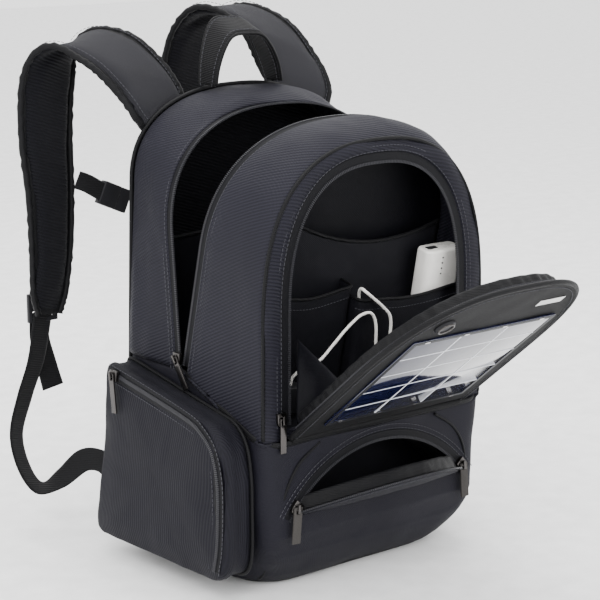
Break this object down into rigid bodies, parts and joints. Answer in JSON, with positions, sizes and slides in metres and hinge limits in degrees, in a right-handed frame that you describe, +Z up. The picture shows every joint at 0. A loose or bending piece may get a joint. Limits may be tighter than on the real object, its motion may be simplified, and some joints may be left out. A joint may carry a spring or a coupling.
{
  "type": "solar backpack",
  "caption": "Padded backpack with an open arched main zip, an organiser behind a drop-down flap carrying a solar panel, a lower pocket, side pockets and harness.",
  "frame": {"origin": "middle of the base's resting face", "axes": "+X to the right seen from the front, +Y towards the wearer's back, +Z up; the solar flap is on the -Y side"},
  "size_m": [0.4159, 0.6073, 0.5639],
  "materials": {
    "shell_fabric": "ribbed nylon twill",
    "lining_fabric": "smooth lining",
    "mesh_fabric": "padded air mesh",
    "webbing": "woven webbing",
    "zip_coil": "coil zip tape",
    "black_plastic": "satin",
    "dark_metal": "gunmetal",
    "white_plastic": "gloss",
    "solar_laminate": "glossy laminate over solar cells"
  },
  "bodies": {
    "bag": {"back_panel": "mesh_fabric", "back_pad_left": "mesh_fabric", "back_pad_right": "mesh_fabric", "rear_gusset": "shell_fabric", "main_zip_rear": "zip_coil", "lower_body": "shell_fabric", "base_panel": "shell_fabric", "laptop_sleeve": "lining_fabric", "side_pocket": "shell_fabric", "side_pocket_zip": "zip_coil", "bottle_pocket": "mesh_fabric", "lower_pocket_lining": "lining_fabric", "lower_pocket_zip": "zip_coil", "shoulder_strap_left": "mesh_fabric", "shoulder_strap_right": "mesh_fabric", "ladder_lock_left": "black_plastic", "ladder_lock_right": "black_plastic", "strap_webbing_left": "webbing", "webbing_tail_left": "webbing", "strap_webbing_right": "webbing", "webbing_tail_right": "webbing", "webbing_anchor_left": "shell_fabric", "webbing_anchor_right": "shell_fabric", "chest_webbing_left": "webbing", "chest_webbing_right": "webbing", "chest_buckle_socket": "black_plastic"},
    "front_section": {"front_shell": "shell_fabric", "main_zip_front": "zip_coil", "divider_panel": "lining_fabric", "tablet_pocket": "lining_fabric", "phone_pouch": "lining_fabric", "battery_pouch": "lining_fabric", "charge_regulator": "black_plastic", "charging_lead": "white_plastic", "lead_plug": "white_plastic", "flap_gusset_left": "lining_fabric", "flap_gusset_right": "lining_fabric"},
    "flap": {"solar_flap": "shell_fabric", "flap_zip_rim": "zip_coil", "solar_panel": "solar_laminate", "cable_port": "black_plastic"},
    "pocket_lip": {"lower_pocket_lip": "shell_fabric"},
    "handle": {"top_handle": "webbing"},
    "battery": {"battery_case": "white_plastic"},
    "chest_clip": {"chest_buckle_clip": "black_plastic"},
    "flap_slider": {"flap_slider": "dark_metal"},
    "flap_tab": {"flap_tab": "dark_metal"},
    "main_left_slider": {"main_left_slider": "dark_metal"},
    "main_left_tab": {"main_left_tab": "dark_metal"},
    "main_right_slider": {"main_right_slider": "dark_metal"},
    "main_right_tab": {"main_right_tab": "dark_metal"},
    "side_slider": {"side_slider": "dark_metal"},
    "side_tab": {"side_tab": "dark_metal"},
    "pocket_left_slider": {"pocket_left_slider": "dark_metal"},
    "pocket_left_tab": {"pocket_left_tab": "webbing"},
    "pocket_right_slider": {"pocket_right_slider": "dark_metal"},
    "pocket_right_tab": {"pocket_right_tab": "webbing"}
  },
  "joints": [
    {"name": "main_opening", "type": "hinge", "parent": "bag", "child": "front_section", "pos_m": [0, 0.005, 0.213], "axis": [1, 0, 0], "range_deg": [-18.6, 0]},
    {"name": "flap_hinge", "type": "hinge", "parent": "front_section", "child": "flap", "pos_m": [0, -0.132, 0.165], "axis": [1, 0, 0], "range_deg": [-50, 0], "deforming": ["flap_gusset_left", "flap_gusset_right"]},
    {"name": "pocket_lip_fold", "type": "hinge", "parent": "bag", "child": "pocket_lip", "pos_m": [0, -0.1315, 0.0856], "axis": [1, 0, 0], "range_deg": [-62, 0]},
    {"name": "handle_fold", "type": "hinge", "parent": "bag", "child": "handle", "pos_m": [0, 0.096, 0.4885], "axis": [1, 0, 0], "range_deg": [-20, 28]},
    {"name": "battery_pull_out", "type": "slide", "parent": "front_section", "child": "battery", "axis": [0, -0.1908, 0.9816], "range_m": [0, 0.03]},
    {"name": "chest_buckle_release", "type": "slide", "parent": "bag", "child": "chest_clip", "axis": [0.9135, 0, -0.4067], "range_m": [0, 0.02], "deforming": ["chest_webbing_right"]},
    {"name": "main_left_zip", "type": "slide", "parent": "bag", "child": "main_left_slider", "axis": [0, 0.0872, 0.9962], "range_m": [0, 0.11]},
    {"name": "main_left_tab_swing", "type": "hinge", "parent": "main_left_slider", "child": "main_left_tab", "pos_m": [-0.1549, 0.00705, 0.22666], "axis": [0, 0.824, -0.5665], "range_deg": [0, 95]},
    {"name": "main_right_zip", "type": "slide", "parent": "bag", "child": "main_right_slider", "axis": [0, 0.0872, 0.9962], "range_m": [0, 0.11]},
    {"name": "main_right_tab_swing", "type": "hinge", "parent": "main_right_slider", "child": "main_right_tab", "pos_m": [0.1549, 0.00683, 0.22677], "axis": [0, -0.9578, 0.2873], "range_deg": [0, 95]},
    {"name": "side_zip", "type": "slide", "parent": "bag", "child": "side_slider", "axis": [0, -0.9869, -0.1613], "range_m": [0, 0.1]},
    {"name": "side_tab_swing", "type": "hinge", "parent": "side_slider", "child": "side_tab", "pos_m": [-0.1897, 0.0721, 0.20199], "axis": [0, 0.9929, -0.1191], "range_deg": [0, 95]},
    {"name": "flap_zip", "type": "slide", "parent": "front_section", "child": "flap_slider", "axis": [0, 0, 1], "range_m": [0, 0.1]},
    {"name": "flap_tab_swing", "type": "hinge", "parent": "flap_slider", "child": "flap_tab", "pos_m": [-0.125, -0.1329, 0.1888], "axis": [-1, 0, 0], "range_deg": [0, 95]},
    {"name": "pocket_left_zip", "type": "hinge", "parent": "bag", "child": "pocket_left_slider", "pos_m": [0.002, -0.1336, -0.001], "axis": [0, 1, 0], "range_deg": [0, 44]},
    {"name": "pocket_left_tab_swing", "type": "hinge", "parent": "pocket_left_slider", "child": "pocket_left_tab", "pos_m": [-0.11086, -0.1389, 0.09624], "axis": [-0.9968, 0, 0.0797], "range_deg": [0, 95]},
    {"name": "pocket_right_zip", "type": "hinge", "parent": "bag", "child": "pocket_right_slider", "pos_m": [0.002, -0.1336, -0.001], "axis": [0, 1, 0], "range_deg": [-44, 0]},
    {"name": "pocket_right_tab_swing", "type": "hinge", "parent": "pocket_right_slider", "child": "pocket_right_tab", "pos_m": [0.11486, -0.1389, 0.09624], "axis": [-0.9968, 0, -0.0797], "range_deg": [0, 95]}
  ]
}
